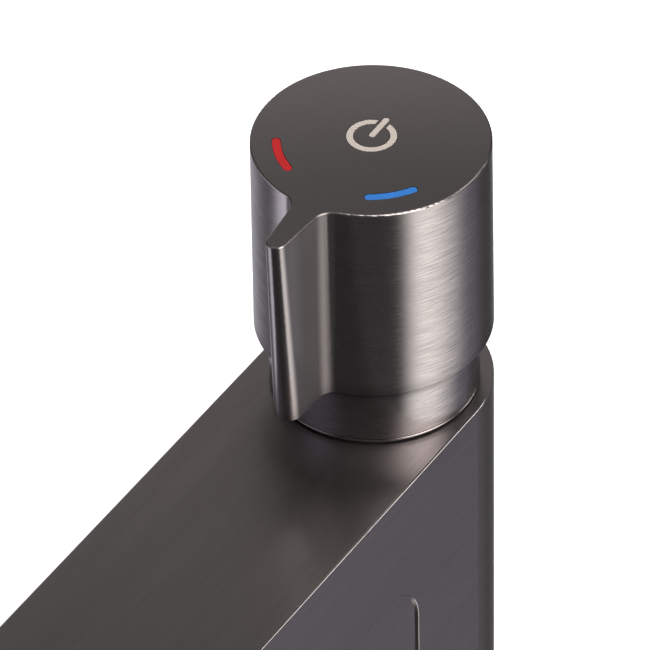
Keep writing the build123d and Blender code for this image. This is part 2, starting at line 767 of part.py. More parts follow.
# Knob shell: lofted from skirt to top, bored out, grooved for the guide ring and inlaid
with BuildPart() as knob_shell:
    with Locations((0, axis_y, knob_floor)):
        Cone(knob_skirt_radius, knob_top_radius, knob_height, align=(Align.CENTER, Align.CENTER, Align.MIN))
    fin_foot = fin_outline(knob_floor, fin_skirt_reach, fin_skirt_radius)
    fin_head = fin_outline(knob_top, fin_top_reach, fin_top_radius)
    loft([fin_foot, fin_head], ruled=True)
    # Seen from the front, the two edges beside the fin's nose come before its two roots
    tall_edges = knob_shell.edges().filter_by(lambda e: e.bounding_box().size.Z > knob_height / 2)
    fin_roots = tall_edges.sort_by(Axis.Y)[2:4]
    fillet(fin_roots, fin_root_fillet)
    fillet(knob_shell.faces().sort_by(Axis.Z)[-1].edges(), knob_top_rounding)
    chamfer(knob_shell.faces().sort_by(Axis.Z)[0].edges(), knob_skirt_chamfer)
    with BuildSketch(on_axis(knob_floor)):
        Circle(knob_bore)
    extrude(amount=knob_ceiling - knob_floor, mode=Mode.SUBTRACT)
    with BuildSketch(on_axis(knob_floor + guide_ring_rise)):
        Circle(knob_bore + guide_ring_depth)
    extrude(amount=guide_ring_height, mode=Mode.SUBTRACT)
    extrude(power_outline(mark_border), amount=-mark_depth, mode=Mode.SUBTRACT)
    extrude(arc_outline(-1, mark_border), amount=-mark_depth, mode=Mode.SUBTRACT)
    extrude(arc_outline(1, mark_border), amount=-mark_depth, mode=Mode.SUBTRACT)
    with Locations(behind_knob(knob_skirt_radius)):
        Hole(screw_radius + screw_fit, knob_skirt_radius)
knob_shell.part.label = "knob_shell"

with BuildPart() as guide_ring:
    with BuildSketch(on_axis(knob_floor + guide_ring_rise + seal_fit)):
        Circle(knob_bore + guide_ring_depth - seal_fit)
        Circle(collar_radius + guide_ring_play, mode=Mode.SUBTRACT)
    extrude(amount=guide_ring_height - 2 * seal_fit)
guide_ring.part.label = "guide_ring"

with BuildPart() as power_mark:
    extrude(power_outline(0), amount=-mark_depth)
    with BuildSketch(on_axis(knob_top - mark_sink)):
        Circle(knob_top_radius)
    extrude(amount=mark_sink, mode=Mode.SUBTRACT)
power_mark.part.label = "power_mark"

with BuildPart() as hot_mark:
    extrude(arc_outline(-1, 0), amount=-mark_depth)
    with BuildSketch(on_axis(knob_top - mark_sink)):
        Circle(knob_top_radius)
    extrude(amount=mark_sink, mode=Mode.SUBTRACT)
hot_mark.part.label = "hot_mark"

with BuildPart() as cold_mark:
    extrude(arc_outline(1, 0), amount=-mark_depth)
    with BuildSketch(on_axis(knob_top - mark_sink)):
        Circle(knob_top_radius)
    extrude(amount=mark_sink, mode=Mode.SUBTRACT)
cold_mark.part.label = "cold_mark"

# Knob carrier, glued under the knob's top: disc, rim, ribs and the splined sleeve
with BuildPart() as knob_carrier:
    with BuildSketch(on_axis(carrier_disc_floor)):
        Circle(carrier_radius)
    extrude(amount=carrier_disc_thickness)
    with BuildSketch(on_axis(carrier_disc_floor)):
        Circle(carrier_radius)
        Circle(carrier_radius - carrier_rim_wall, mode=Mode.SUBTRACT)
    extrude(amount=-carrier_rim_height)
    with BuildSketch(on_axis(carrier_sleeve_floor)):
        Circle(carrier_sleeve_radius)
    extrude(amount=carrier_disc_floor - carrier_sleeve_floor)
    rib_length = carrier_radius - carrier_rim_wall / 2
    with BuildSketch(on_axis(carrier_disc_floor)):
        with PolarLocations(rib_length / 2, carrier_ribs):
            Rectangle(rib_length, carrier_rib_thickness)
    extrude(amount=-carrier_rib_height)
    with BuildSketch(on_axis(carrier_sleeve_floor)):
        add(spline_outline(spline_fit))
    extrude(amount=carrier_boss_floor - carrier_sleeve_floor, mode=Mode.SUBTRACT)
    with Locations(behind_knob(carrier_radius)):
        Hole(screw_radius + screw_fit, carrier_rim_wall + screw_radius)
knob_carrier.part.label = "knob_carrier"

with BuildPart() as grub_screw:
    with BuildSketch(behind_knob(screw_end)):
        Circle(screw_radius)
    extrude(amount=-screw_length)
    with BuildSketch(behind_knob(screw_end)):
        RegularPolygon(screw_socket_size / 2, 6, major_radius=False)
    extrude(amount=-screw_socket_depth, mode=Mode.SUBTRACT)
grub_screw.part.label = "grub_screw"

# Push rod under the carrier's boss, with the poppet that closes the fixed disc from below
with BuildPart() as push_rod:
    rod_seal_height = (stem_floor + spring_floor) / 2
    rod_seal_heights = [rod_seal_height - rod_seal_pitch / 2, rod_seal_height + rod_seal_pitch / 2]
    with BuildSketch(on_axis(rod_head_floor)):
        Circle(rod_head_radius)
    extrude(amount=rod_head_height)
    with BuildSketch(on_axis(rod_head_floor)):
        Circle(rod_radius)
    extrude(amount=stem_floor + press_stroke + stroke_clearance - rod_head_floor)
    with BuildSketch(on_axis(rod_head_floor)):
        Circle(rod_tip_radius)
    extrude(amount=poppet_floor - rod_head_floor)
    with BuildSketch(on_axis(poppet_floor)):
        Circle(poppet_radius)
    extrude(amount=poppet_thickness)
    with BuildSketch(Plane(origin=(0, axis_y, 0), x_dir=(1, 0, 0), z_dir=(0, -1, 0))):
        with Locations([(rod_radius, height) for height in rod_seal_heights]):
            Rectangle(2 * rod_seal_section, rod_seal_section + 2 * seal_fit)
    revolve(axis=knob_axis, mode=Mode.SUBTRACT)
push_rod.part.label = "push_rod"

with BuildPart() as rod_seals:
    seal_radius = rod_radius + seal_fit - rod_seal_section / 2
    revolve(ring_profile(seal_radius, rod_seal_section, rod_seal_heights), axis=knob_axis)
rod_seals.part.label = "rod_seals"

with BuildPart() as poppet_seal:
    with BuildSketch(on_axis(poppet_seal_floor)):
        Circle(poppet_radius)
        Circle(rod_tip_radius + seal_fit, mode=Mode.SUBTRACT)
    extrude(amount=poppet_seal_thickness)
poppet_seal.part.label = "poppet_seal"

# Return spring between the stem's shoulder and the rod's head, as its plain tube
with BuildPart() as return_spring:
    with BuildSketch(on_axis(spring_floor)):
        Circle(spring_radius + spring_wire_radius)
        Circle(spring_radius - spring_wire_radius, mode=Mode.SUBTRACT)
    extrude(amount=spring_length)
return_spring.part.label = "return_spring"

pieces = [
    tap_body, deck_seat, deck_seal, fixing_stud, clamp_pad, clamp_plate, fixing_nut,
    aerator_washer, aerator_sleeve, aerator_insert,
    cartridge_base, port_seals, fixed_disc, moving_disc, turning_stem, stem_seals,
    cartridge_housing, housing_seal, thrust_ring, retaining_nut, shadow_ring, collar,
    knob_shell, guide_ring, power_mark, hot_mark, cold_mark,
    knob_carrier, grub_screw, push_rod, rod_seals, poppet_seal, return_spring,
]
for piece in pieces:
    export_step(piece.part, f"parts/{piece.part.label}.step")
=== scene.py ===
import math

import bpy
from mathutils import Matrix, Vector


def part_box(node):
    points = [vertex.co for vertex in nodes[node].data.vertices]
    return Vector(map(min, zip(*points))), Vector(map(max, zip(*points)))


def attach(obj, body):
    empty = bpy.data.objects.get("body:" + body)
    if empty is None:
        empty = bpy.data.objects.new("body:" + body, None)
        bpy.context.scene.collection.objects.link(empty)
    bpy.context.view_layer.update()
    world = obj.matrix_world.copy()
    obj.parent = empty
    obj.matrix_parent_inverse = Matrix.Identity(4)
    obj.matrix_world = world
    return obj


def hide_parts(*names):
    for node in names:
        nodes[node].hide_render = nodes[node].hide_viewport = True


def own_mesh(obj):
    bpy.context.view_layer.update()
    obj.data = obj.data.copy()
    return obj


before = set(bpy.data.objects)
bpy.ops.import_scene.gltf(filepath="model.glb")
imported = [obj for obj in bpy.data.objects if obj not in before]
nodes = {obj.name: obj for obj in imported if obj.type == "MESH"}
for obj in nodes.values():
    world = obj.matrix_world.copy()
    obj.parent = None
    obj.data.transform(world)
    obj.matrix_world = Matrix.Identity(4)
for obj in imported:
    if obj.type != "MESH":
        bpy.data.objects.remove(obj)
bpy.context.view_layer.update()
bpy.ops.object.select_all(action="DESELECT")

# Body: pillar and flat spout in one brass casting, with a thinner web in the corner between them.
# It is ground flat, brushed level round its sides and lengthwise on its top, and coated in gunmetal.
# It stands on the moulded seat and is pulled down on the deck by the stud.
gunmetal = (0.285, 0.268, 0.270)
body_roughness = 0.31
body_anisotropy = 0.6
body_lines = {"length": 0.012, "width": 0.00013, "contrast": 0.09, "gloss_change": 0.12, "tilt": 0.006}
line_detail = 3.0
line_breakup = 0.6
band_width = 0.004
band_length = 0.05
band_contrast = 0.04
grain_scale = 5000.0
grain_contrast = 0.04
grain_relief = 0.25
grain_depth = 0.00002
edge_roughness = 0.15
flat_above = 0.8
rounding_begins = (0.04, 0.18)
rounding_ends = (0.82, 0.96)
noise_range = (0.3, 0.7)
line_shade_range = (0.28, 0.72)
line_gloss_range = (0.22, 0.78)
line_tilt_range = (0.25, 0.75)


def add_node(tree, kind, inputs=None, **settings):
    """A shader node with its settings, its set inputs and its linked inputs."""
    made = tree.nodes.new(kind)
    for key, value in settings.items():
        setattr(made, key, value)
    for key, value in (inputs or {}).items():
        if isinstance(value, bpy.types.NodeSocket):
            tree.links.new(value, made.inputs[key])
        else:
            made.inputs[key].default_value = value
    return made


def number_step(tree, operation, first, second=None):
    """One step of arithmetic."""
    terms = {0: first} if second is None else {0: first, 1: second}
    return add_node(tree, "ShaderNodeMath", terms, operation=operation).outputs[0]


def vector_step(tree, operation, first, second=None):
    """One step of vector arithmetic."""
    terms = {0: first} if second is None else {0: first, 1: second}
    return add_node(tree, "ShaderNodeVectorMath", terms, operation=operation).outputs[0]


def scaled(tree, vector, amount):
    """The vector times a number."""
    return add_node(tree, "ShaderNodeVectorMath", {0: vector, "Scale": amount}, operation="SCALE").outputs[0]


def spread(tree, value, limits, bottom, top):
    """The value, eased between its two limits into the range bottom to top."""
    inputs = {"Value": value, "From Min": limits[0], "From Max": limits[1], "To Min": bottom, "To Max": top}
    return add_node(tree, "ShaderNodeMapRange", inputs, interpolation_type="SMOOTHSTEP").outputs[0]


def blend(tree, factor, first, second):
    """The first value where the factor is 0, and the second where it is 1."""
    inputs = {"Factor": factor, "A": first, "B": second}
    return add_node(tree, "ShaderNodeMix", inputs, data_type="FLOAT").outputs[0]


def noise(tree, place, scale=1.0, detail=2.0, breakup=0.5):
    """Noise about 0.5 with features one unit wide, divided by the scale."""
    inputs = {"Vector": place, "Scale": scale, "Detail": detail, "Roughness": breakup}
    return add_node(tree, "ShaderNodeTexNoise", inputs).outputs[0]


def brushing_lines(tree, place, length, width):
    """Noise drawn out into brushed lines, level on upright faces and front to back on flat ones. With
    it come the normal, 1 on flat faces, and 1 on rounded edges between flat and upright ones."""
    normal = add_node(tree, "ShaderNodeNewGeometry").outputs["Normal"]
    facing = add_node(tree, "ShaderNodeSeparateXYZ", {0: normal}).outputs["Z"]
    upward = number_step(tree, "ABSOLUTE", facing)
    flat = number_step(tree, "GREATER_THAN", upward, flat_above)
    level = vector_step(tree, "MULTIPLY", place, (1 / length, 1 / length, 1 / width))
    lengthwise = vector_step(tree, "MULTIPLY", place, (1 / width, 1 / length, 1 / width))
    drawn_out = add_node(tree, "ShaderNodeMix", {"Factor": flat}, data_type="VECTOR")
    tree.links.new(level, drawn_out.inputs[4])
    tree.links.new(lengthwise, drawn_out.inputs[5])
    line = noise(tree, drawn_out.outputs[1], detail=line_detail, breakup=line_breakup)
    begun = spread(tree, upward, rounding_begins, 0.0, 1.0)
    unfinished = spread(tree, upward, rounding_ends, 1.0, 0.0)
    return line, normal, flat, number_step(tree, "MULTIPLY", begun, unfinished)


def line_directions(tree, normal):
    """Directions on the surface along the brushed lines and across them."""
    nudged = vector_step(tree, "ADD", normal, (0.001, 0, 0))
    along = vector_step(tree, "NORMALIZE", vector_step(tree, "CROSS_PRODUCT", nudged, (0, 0, 1)))
    across = vector_step(tree, "NORMALIZE", vector_step(tree, "CROSS_PRODUCT", normal, along))
    return along, across


def brushed_gunmetal(name, roughness, anisotropy, lines, rounded=edge_roughness, painted_shade_band=None, blasting_and_painting=None):
    """Gunmetal coating over brushed metal, whose lines differ in shade, gloss and sideways tilt. Given a band of
    heights, its colour darkens from one height to the other, down to the given part, as painted shade. Blasting
    is a function that says where the lines are blasted away, and gives the colour, roughness and doming there;
    that colour holds painted light and shade."""
    material = bpy.data.materials.new(name)
    material.use_nodes = True
    tree = material.node_tree
    shader = tree.nodes["Principled BSDF"]
    shader.inputs["Metallic"].default_value = 1.0
    shader.inputs["Anisotropic"].default_value = anisotropy
    place = add_node(tree, "ShaderNodeTexCoord").outputs["Object"]
    line, normal, flat, rounding = brushing_lines(tree, place, lines["length"], lines["width"])
    along_bands = vector_step(tree, "MULTIPLY", place, (1 / band_width, 1 / band_length, 1 / band_width))
    band = noise(tree, along_bands)
    grain = noise(tree, place, grain_scale)

    lines_and_painted_shade = spread(tree, line, line_shade_range, 1 - lines["contrast"], 1 + lines["contrast"])
    dullest = roughness * (1 + lines["gloss_change"])
    glossiest = roughness * (1 - lines["gloss_change"])
    dullness = spread(tree, line, line_gloss_range, dullest, glossiest)
    lean = blend(tree, rounding, spread(tree, line, line_tilt_range, -lines["tilt"], lines["tilt"]), 0.0)
    bands_and_painted_shade = spread(tree, band, noise_range, 1 - band_contrast, 1 + band_contrast)
    # On blasted parts the colour takes the given shade: painted shade darkest at the fin's root and painted
    # light on the knob's top.
    if blasting_and_painting:
        blasted, blasted_painted_light_and_shade, plain_roughness, doming = blasting_and_painting(tree, place, flat)
        lines_and_painted_shade = blend(tree, blasted, lines_and_painted_shade, blasted_painted_light_and_shade)
        dullness = blend(tree, blasted, dullness, plain_roughness)
        lean = blend(tree, blasted, lean, 0.0)
        bands_and_painted_shade = blend(tree, blasted, bands_and_painted_shade, 1.0)
    # Painted shade: the colour darkens over a band of heights, in place of the shade from the knob's skirt.
    if painted_shade_band:
        height = add_node(tree, "ShaderNodeSeparateXYZ", {0: place}).outputs["Z"]
        band_painted_shade = spread(tree, height, painted_shade_band[:2], 1.0, painted_shade_band[2])
        bands_and_painted_shade = number_step(tree, "MULTIPLY", bands_and_painted_shade, band_painted_shade)
    dullness = blend(tree, rounding, dullness, rounded)
    grain_shade = spread(tree, grain, noise_range, 1 - grain_contrast, 1 + grain_contrast)
    shade = number_step(tree, "MULTIPLY", lines_and_painted_shade, bands_and_painted_shade)
    shade = number_step(tree, "MULTIPLY", shade, grain_shade)

    bump = add_node(tree, "ShaderNodeBump", {"Strength": grain_relief, "Distance": grain_depth, "Height": grain})
    along, across = line_directions(tree, normal)
    tilted = vector_step(tree, "ADD", bump.outputs[0], scaled(tree, along, lean))
    if blasting_and_painting:
        tilted = vector_step(tree, "ADD", tilted, doming)
    tree.links.new(scaled(tree, gunmetal, shade), shader.inputs["Base Color"])
    tree.links.new(dullness, shader.inputs["Roughness"])
    tree.links.new(vector_step(tree, "NORMALIZE", tilted), shader.inputs["Normal"])
    tree.links.new(across, shader.inputs["Tangent"])
    return material


def finish_node(material, *names):
    """Gives CAD nodes their material."""
    for name in names:
        for slot in nodes[name].material_slots:
            slot.material = material


finish_node(brushed_gunmetal("body_gunmetal", body_roughness, body_anisotropy, body_lines), "tap_body")

# Deck seat and its ring: the seat is a black moulding that centres the tap in the hole, pressed into
# the body's foot. The ring is rubber, and lies in the seat's groove against the deck.
mottle_detail = 3.0
mottle_gloss_change = 0.1


def moulded_finish(name, colour, roughness, metallic=0.0, mottle=0.06, mottle_scale=400.0, relief=0.2):
    """Moulded, ground or machined surface: a slight mottle in colour and gloss, and a fine grain."""
    material = bpy.data.materials.new(name)
    material.use_nodes = True
    tree = material.node_tree
    shader = tree.nodes["Principled BSDF"]
    shader.inputs["Metallic"].default_value = metallic
    place = add_node(tree, "ShaderNodeTexCoord").outputs["Object"]
    mottling = noise(tree, place, mottle_scale, mottle_detail)
    shade = spread(tree, mottling, noise_range, 1 - mottle, 1 + mottle)
    glossiest = roughness * (1 - mottle_gloss_change)
    dullest = roughness * (1 + mottle_gloss_change)
    bump = add_node(tree, "ShaderNodeBump", {"Strength": relief, "Distance": grain_depth, "Height": mottling})
    tree.links.new(scaled(tree, colour, shade), shader.inputs["Base Color"])
    tree.links.new(spread(tree, mottling, noise_range, glossiest, dullest), shader.inputs["Roughness"])
    tree.links.new(bump.outputs[0], shader.inputs["Normal"])
    return material


black_moulding = moulded_finish("black_moulding", (0.02, 0.02, 0.022), 0.5)
black_rubber = moulded_finish("black_rubber", (0.015, 0.015, 0.016), 0.7, mottle=0.12)
finish_node(black_moulding, "deck_seat")
finish_node(black_rubber, "deck_seal")

# Stud: a steel M8 rod with a rolled thread over its whole length, screwed into the body's foot.
# It carries the clamp below the deck.
stud_low, stud_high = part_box("fixing_stud")
stud_radius = (stud_high.x - stud_low.x) / 2
stud_centre_y = (stud_low.y + stud_high.y) / 2
thread_pitch = 0.00125
thread_depth = 0.0007
thread_crest = (0.45, 0.55)
thread_segments = 28
thread_turns = math.ceil((stud_high.z - stud_low.z) / thread_pitch) + 2
thread_join = 0.00001
thread_smooth_angle = math.radians(25)
cut_tolerance = 0.000001
zinc_steel = moulded_finish("zinc_plated_steel", (0.62, 0.62, 0.60), 0.32, 1.0)


def apply_modifier(piece, kind, **settings):
    """Adds a modifier to the piece and applies it."""
    bpy.context.view_layer.objects.active = piece
    modifier = piece.modifiers.new(kind.lower(), kind)
    for key, value in settings.items():
        setattr(modifier, key, value)
    bpy.ops.object.modifier_apply(modifier=modifier.name)


bpy.ops.mesh.primitive_plane_add(size=1, location=(0, 0, 0))
stud = bpy.context.object
stud.name = "threaded_stud"
bpy.ops.object.mode_set(mode="EDIT")
bpy.ops.mesh.select_all(action="SELECT")
bpy.ops.mesh.delete(type="ONLY_FACE")
bpy.ops.object.mode_set(mode="OBJECT")
root_radius = stud_radius - thread_depth
start_z = stud_low.z - thread_pitch
tooth = [(root_radius, 0), (stud_radius, thread_pitch * thread_crest[0]), (root_radius, thread_pitch),
         (stud_radius, thread_pitch * thread_crest[1])]
for vertex, (reach, rise) in zip(stud.data.vertices, tooth):
    vertex.co = (reach, 0, start_z + rise)
bpy.ops.object.mode_set(mode="EDIT")
bpy.ops.mesh.select_mode(type="EDGE")
bpy.ops.mesh.select_all(action="DESELECT")
bpy.ops.object.mode_set(mode="OBJECT")
for edge in stud.data.edges:
    ends = [stud.data.vertices[i].co for i in edge.vertices]
    edge.select = all(end.x < stud_radius - thread_depth / 2 for end in ends)
bpy.ops.object.mode_set(mode="EDIT")
bpy.ops.mesh.delete(type="EDGE")
bpy.ops.object.mode_set(mode="OBJECT")
apply_modifier(stud, "SCREW", axis="Z", screw_offset=thread_pitch, iterations=thread_turns,
               angle=2 * math.pi, steps=thread_segments, render_steps=thread_segments,
               use_merge_vertices=True, merge_threshold=thread_join)
bpy.ops.object.mode_set(mode="EDIT")
bpy.ops.mesh.select_all(action="SELECT")
bpy.ops.mesh.remove_doubles(threshold=thread_join)
bpy.ops.mesh.bisect(plane_co=(0, 0, stud_high.z), plane_no=(0, 0, 1), threshold=cut_tolerance,
                    use_fill=True, clear_outer=True)
bpy.ops.mesh.select_all(action="SELECT")
bpy.ops.mesh.bisect(plane_co=(0, 0, stud_low.z), plane_no=(0, 0, 1), threshold=cut_tolerance,
                    use_fill=True, clear_inner=True)
bpy.ops.mesh.select_all(action="SELECT")
bpy.ops.mesh.normals_make_consistent(inside=False)
bpy.ops.transform.translate(value=(0, stud_centre_y, 0))
bpy.ops.object.mode_set(mode="OBJECT")
bpy.ops.object.shade_smooth_by_angle(angle=thread_smooth_angle)
stud.data.materials.append(zinc_steel)
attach(stud, "tap")
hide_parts("fixing_stud")
bpy.ops.object.select_all(action="DESELECT")

# Clamp under the deck: a rubber pad, a stamped steel washer of the same outline and a long
# hexagonal nut turned from bar, all threaded on the stud.
stamped_steel = moulded_finish("stamped_steel", (0.55, 0.55, 0.56), 0.36, 1.0, mottle=0.09, mottle_scale=160.0)
finish_node(black_rubber, "clamp_pad")
finish_node(stamped_steel, "clamp_plate")
finish_node(zinc_steel, "fixing_nut")

# Aerator: a chromed sleeve screws into the spout and holds a moulded honeycomb insert on a rubber
# washer. It sits a little inside the spout's underside.
chromed = moulded_finish("chromed_sleeve", (0.70, 0.70, 0.71), 0.12, 1.0, mottle=0.02, relief=0.05)
grey_moulding = moulded_finish("grey_moulding", (0.35, 0.36, 0.37), 0.45)
finish_node(black_rubber, "aerator_washer")
finish_node(chromed, "aerator_sleeve")
finish_node(grey_moulding, "aerator_insert")

# Cartridge: a moulded base and housing round two lapped ceramic discs, sealed by rubber rings. The
# upper disc and its bearing ring turn with the brass stem that the knob drives.
turned_brass = moulded_finish("turned_brass", (0.72, 0.52, 0.25), 0.3, 1.0, mottle=0.05)
white_moulding = moulded_finish("white_moulding", (0.75, 0.75, 0.73), 0.4)
lapped_ceramic = moulded_finish("lapped_ceramic", (0.80, 0.79, 0.75), 0.2, mottle=0.03)
finish_node(grey_moulding, "cartridge_base", "cartridge_housing")
finish_node(lapped_ceramic, "fixed_disc", "moving_disc")
finish_node(turned_brass, "turning_stem")
finish_node(white_moulding, "thrust_ring")
finish_node(black_rubber, "port_seals", "stem_seals", "housing_seal")

# Retaining nut: turned brass, slotted on its rim for a key. It screws into the body over the
# cartridge, and the collar screws on over it.
finish_node(turned_brass, "retaining_nut")

# Collar: a turned sleeve with a fine groove above its foot, brushed round and coated like the body.
# It stands on a thin dark ring, which shows only as the line between collar and body. Its colour is darkened
# below the knob's skirt, as a painted shadow of the skirt.
collar_low, collar_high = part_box("collar")
collar_radius = (collar_high.x - collar_low.x) / 2
knob_axis_y = (collar_low.y + collar_high.y) / 2
collar_sides = 160
collar_wall = 0.00125
collar_lip = 0.0020
lip_bore = 0.0120
groove_foot = collar_low.z + 0.0005
groove_height = 0.00025
groove_depth = 0.0003
bead_rounding = 0.00018
bead_segments = 4
rim_chamfer = 0.0004
rim_segments = 2
collar_smooth_angle = math.radians(28)
same_height = 0.000001
same_reach = 0.00001
turned_roughness = 0.24
turned_anisotropy = 0.75
turned_lines = {"length": 0.0055, "width": 0.00011, "contrast": 0.21, "gloss_change": 0.25, "tilt": 0.030}
skirt_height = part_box("knob_shell")[0].z
# Painted shadow of the knob's skirt on the collar: the heights over which its colour darkens, and to what part.
collar_painted_shadow = (skirt_height - 0.0042, skirt_height - 0.0015, 0.40)


def pick(piece, kind, wanted):
    """Selects only the faces or edges that are wanted, by the reach of their middle from the knob's
    axis, the height of their middle and the reach of their nearest corner."""
    bpy.ops.mesh.select_mode(type=kind)
    bpy.ops.mesh.select_all(action="DESELECT")
    bpy.ops.object.mode_set(mode="OBJECT")
    mesh = piece.data
    for part in (mesh.polygons if kind == "FACE" else mesh.edges):
        corners = [mesh.vertices[i].co for i in part.vertices]
        middle = sum(corners, Vector()) / len(corners)
        middle_reach = math.hypot(middle.x, middle.y - knob_axis_y)
        corner_reach = min(math.hypot(corner.x, corner.y - knob_axis_y) for corner in corners)
        part.select = wanted(middle_reach, middle.z, corner_reach)
    bpy.ops.object.mode_set(mode="EDIT")


bpy.ops.mesh.primitive_cylinder_add(
    vertices=collar_sides, radius=collar_radius, depth=collar_high.z - collar_low.z,
    location=(0, knob_axis_y, (collar_low.z + collar_high.z) / 2))
collar = bpy.context.object
collar.name = "turned_collar"
bpy.ops.object.transform_apply(location=True, rotation=True, scale=True)
bpy.ops.object.mode_set(mode="EDIT")
for height in (groove_foot, groove_foot + groove_height):
    bpy.ops.mesh.select_all(action="SELECT")
    bpy.ops.mesh.bisect(plane_co=(0, 0, height), plane_no=(0, 0, 1), threshold=cut_tolerance)
groove_middle = groove_foot + groove_height / 2
pick(collar, "FACE", lambda reach, z, corner: abs(z - groove_middle) < groove_height / 4)
bpy.ops.mesh.extrude_region_shrink_fatten(TRANSFORM_OT_shrink_fatten={"value": -groove_depth})
pick(collar, "FACE", lambda reach, z, corner: z < collar_low.z + same_height)
bpy.ops.mesh.inset(thickness=collar_wall)
bpy.ops.mesh.extrude_region_move(
    TRANSFORM_OT_translate={"value": (0, 0, collar_high.z - collar_low.z - collar_lip)})
bpy.ops.mesh.inset(thickness=collar_radius - collar_wall - lip_bore)
bpy.ops.mesh.delete(type="ONLY_FACE")
pick(collar, "FACE", lambda reach, z, corner: z > collar_high.z - same_height)
bpy.ops.mesh.inset(thickness=collar_radius - lip_bore)
bpy.ops.mesh.delete(type="ONLY_FACE")
pick(collar, "EDGE", lambda reach, z, corner: abs(corner - lip_bore) < 2 * same_reach
     and reach < lip_bore + same_reach)
bpy.ops.mesh.bridge_edge_loops()
pick(collar, "EDGE", lambda reach, z, corner: z > collar_high.z - same_height
     and corner > collar_radius - same_reach)
bpy.ops.mesh.bevel(offset=rim_chamfer, segments=rim_segments)
pick(collar, "EDGE", lambda reach, z, corner: corner > collar_radius - same_reach
     and (z < collar_low.z + same_height or abs(z - groove_foot) < same_height))
bpy.ops.mesh.bevel(offset=bead_rounding, segments=bead_segments)
bpy.ops.mesh.select_all(action="SELECT")
bpy.ops.mesh.normals_make_consistent(inside=False)
bpy.ops.object.mode_set(mode="OBJECT")
bpy.ops.object.shade_smooth_by_angle(angle=collar_smooth_angle)
collar.data.materials.append(brushed_gunmetal("collar_gunmetal", turned_roughness, turned_anisotropy,
                                              turned_lines, painted_shade_band=collar_painted_shadow))
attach(collar, "tap")
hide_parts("collar")
bpy.ops.object.select_all(action="DESELECT")
finish_node(black_moulding, "shadow_ring")

# Knob: a cast cup with a pointer fin, brushed round its side and blasted fine on its top and fin, then coated in
# gunmetal. Its colour is darkened towards the foot of the skirt as painted shade, darkened on the fin, most at
# its root, as painted shade, and lifted a little on its top as painted light. A nylon ring in the skirt slides
# on the collar.
knob_low, knob_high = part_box("knob_shell")
fin_from = (knob_high.x - knob_low.x) / 2 + 0.0001
fin_blend = 0.0005
# The knob's top is coloured a little lighter as painted light, and the fin darker, most at its root, as painted
# shade.
top_painted_light = 1.05
top_roughness = 0.33
top_crown = 0.08
fin_painted_shades = (0.47, 0.80)
fin_painted_shade_reach = (0.029, 0.034)
root_to_nose_roughness = (0.53, 0.27)
root_to_nose_roughness_reach = (0.028, 0.034)
knob_edge_roughness = 0.32
# Painted shade on the knob: its colour darkens towards the foot of the skirt.
skirt_painted_shade = (skirt_height + 0.0034, skirt_height, 0.72)


def blasted_and_painted_top_and_fin(tree, place, flat):
    """Where the knob is blasted, with the roughness there and the colour there, which is painted shade darkest
    at the fin's root and painted light on the top, and an outward lean of the normal that makes the flat top
    look slightly domed."""
    centred = vector_step(tree, "SUBTRACT", place, (0, knob_axis_y, 0))
    outward = vector_step(tree, "MULTIPLY", centred, (1, 1, 0))
    reach = add_node(tree, "ShaderNodeVectorMath", {0: outward}, operation="LENGTH").outputs["Value"]
    fin = spread(tree, reach, (fin_from, fin_from + fin_blend), 0.0, 1.0)
    blasted = number_step(tree, "MAXIMUM", fin, flat)
    fin_colour_painted_shade = spread(tree, reach, fin_painted_shade_reach, *fin_painted_shades)
    fin_roughness = spread(tree, reach, root_to_nose_roughness_reach, *root_to_nose_roughness)
    shade = blend(tree, flat, fin_colour_painted_shade, top_painted_light)
    roughness = blend(tree, flat, fin_roughness, top_roughness)
    doming = scaled(tree, outward, number_step(tree, "MULTIPLY", flat, top_crown / fin_from))
    return blasted, shade, roughness, doming


knob_finish = brushed_gunmetal("knob_gunmetal", turned_roughness, turned_anisotropy, turned_lines,
                               rounded=knob_edge_roughness, painted_shade_band=skirt_painted_shade,
                               blasting_and_painting=blasted_and_painted_top_and_fin)
finish_node(knob_finish, "knob_shell")
finish_node(white_moulding, "guide_ring")

# Marks: the power symbol is a satin metal inlay, and the arcs for hot and cold are enamel, each set
# a hair below the knob's top in a pocket with a narrow gap round it.
satin_silver = moulded_finish("satin_silver", (0.60, 0.55, 0.51), 0.35, mottle=0.03, mottle_scale=2500.0)
red_enamel = moulded_finish("red_enamel", (0.50, 0.016, 0.020), 0.25, mottle=0.04)
blue_enamel = moulded_finish("blue_enamel", (0.035, 0.21, 0.66), 0.25, mottle=0.04)
finish_node(satin_silver, "power_mark")
finish_node(red_enamel, "hot_mark")
finish_node(blue_enamel, "cold_mark")

# Knob carrier: a black moulded hub with ribs and a splined sleeve, glued under the knob's top and
# fixed on the stem's spline by a steel grub screw from behind.
bright_steel = moulded_finish("bright_steel", (0.60, 0.60, 0.61), 0.28, 1.0)
finish_node(black_moulding, "knob_carrier")
finish_node(bright_steel, "grub_screw")

# Push rod: turned brass with two rubber rings, and a rubber face on its poppet. The carrier's boss
# presses on its head.
finish_node(turned_brass, "push_rod")
finish_node(black_rubber, "rod_seals", "poppet_seal")

